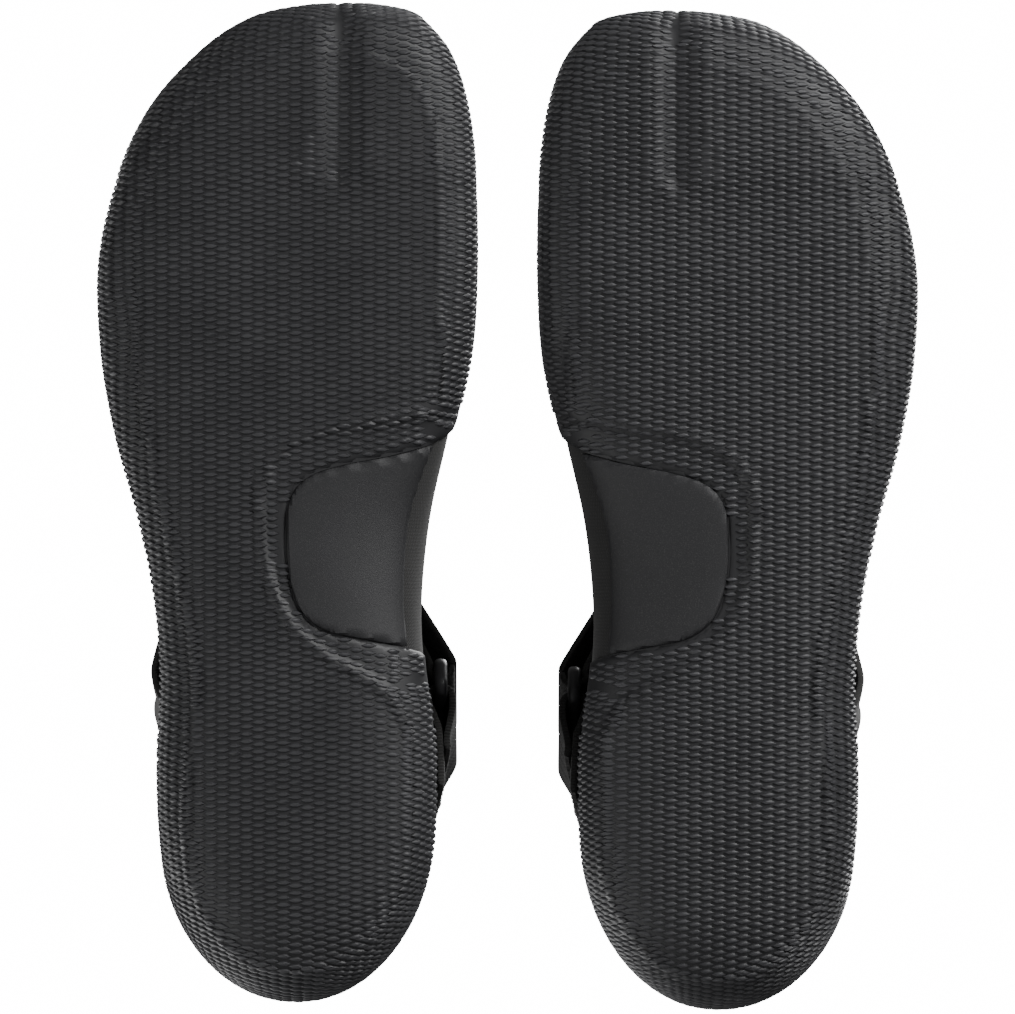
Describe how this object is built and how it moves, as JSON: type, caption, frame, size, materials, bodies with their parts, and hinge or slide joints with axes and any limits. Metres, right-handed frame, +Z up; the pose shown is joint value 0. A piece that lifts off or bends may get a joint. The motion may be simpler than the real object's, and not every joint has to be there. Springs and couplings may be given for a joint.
{
  "type": "neoprene surf boots",
  "caption": "Pair of mid-height neoprene boots with wrap-up rubber soles, a smooth arch panel, an instep strap cinched through a plastic ring, and a pull loop at the heel.",
  "frame": {"origin": "on the floor, in the middle of the pair's bounding box", "axes": "+Z up, toes towards -Y, right boot at -X and left boot at +X as the wearer stands"},
  "size_m": [0.2324, 0.286, 0.2126],
  "materials": {
    "outsole": "matte, fine lens-shaped tread",
    "arch_panel": "smooth, sandy grain",
    "board": "felted stiffening board",
    "insole": "brushed foam",
    "neoprene": "jersey-faced neoprene",
    "neoprene_grey": "jersey-faced neoprene, dark grey",
    "tape": "woven tape",
    "webbing": "woven webbing",
    "pile": "loop pile",
    "hook": "hook tape",
    "ring": "moulded, semi-gloss"
  },
  "bodies": {
    "right_boot": {"right_ankle_strap": "webbing", "right_arch_panel": "arch_panel", "right_back_tape": "tape", "right_cuff_binding": "tape", "right_cuff_panel": "neoprene", "right_gusset": "neoprene_grey", "right_insole": "insole", "right_lateral_quarter": "neoprene", "right_loop_patch": "webbing", "right_medial_quarter": "neoprene", "right_midsole_board": "board", "right_outsole": "outsole", "right_ring_tab": "webbing", "right_seam_tape": "tape", "right_strap_patch": "tape", "right_strap_pile": "pile", "right_strap_ring": "ring", "right_tab_patch": "tape", "right_toe_divider": "neoprene", "right_vamp": "neoprene"},
    "right_tail": {"right_strap_tail": "webbing", "right_strap_hook": "hook"},
    "right_loop": {"right_pull_loop": "webbing"},
    "left_boot": {"left_ankle_strap": "webbing", "left_arch_panel": "arch_panel", "left_back_tape": "tape", "left_cuff_binding": "tape", "left_cuff_panel": "neoprene", "left_gusset": "neoprene_grey", "left_insole": "insole", "left_lateral_quarter": "neoprene", "left_loop_patch": "webbing", "left_medial_quarter": "neoprene", "left_midsole_board": "board", "left_outsole": "outsole", "left_ring_tab": "webbing", "left_seam_tape": "tape", "left_strap_patch": "tape", "left_strap_pile": "pile", "left_strap_ring": "ring", "left_tab_patch": "tape", "left_toe_divider": "neoprene", "left_vamp": "neoprene"},
    "left_tail": {"left_strap_tail": "webbing", "left_strap_hook": "hook"},
    "left_loop": {"left_pull_loop": "webbing"}
  },
  "joints": [
    {"name": "left_boot_away", "type": "slide", "parent": "right_boot", "child": "left_boot", "axis": [1, 0, 0], "range_m": [0, 0.12]},
    {"name": "right_tail_peel", "type": "hinge", "parent": "right_boot", "child": "right_tail", "pos_m": [-0.01495, 0.05419, 0.07872], "axis": [0, 0.6157, 0.788], "range_deg": [0, 52]},
    {"name": "right_loop_fold", "type": "hinge", "parent": "right_boot", "child": "right_loop", "pos_m": [-0.06, 0.13321, 0.1941], "axis": [-1, 0, 0], "range_deg": [0, 90]},
    {"name": "left_tail_peel", "type": "hinge", "parent": "left_boot", "child": "left_tail", "pos_m": [0.01495, 0.05639, 0.07872], "axis": [0, -0.6157, -0.788], "range_deg": [0, 52]},
    {"name": "left_loop_fold", "type": "hinge", "parent": "left_boot", "child": "left_loop", "pos_m": [0.06, 0.13541, 0.1941], "axis": [-1, 0, 0], "range_deg": [0, 90]}
  ]
}
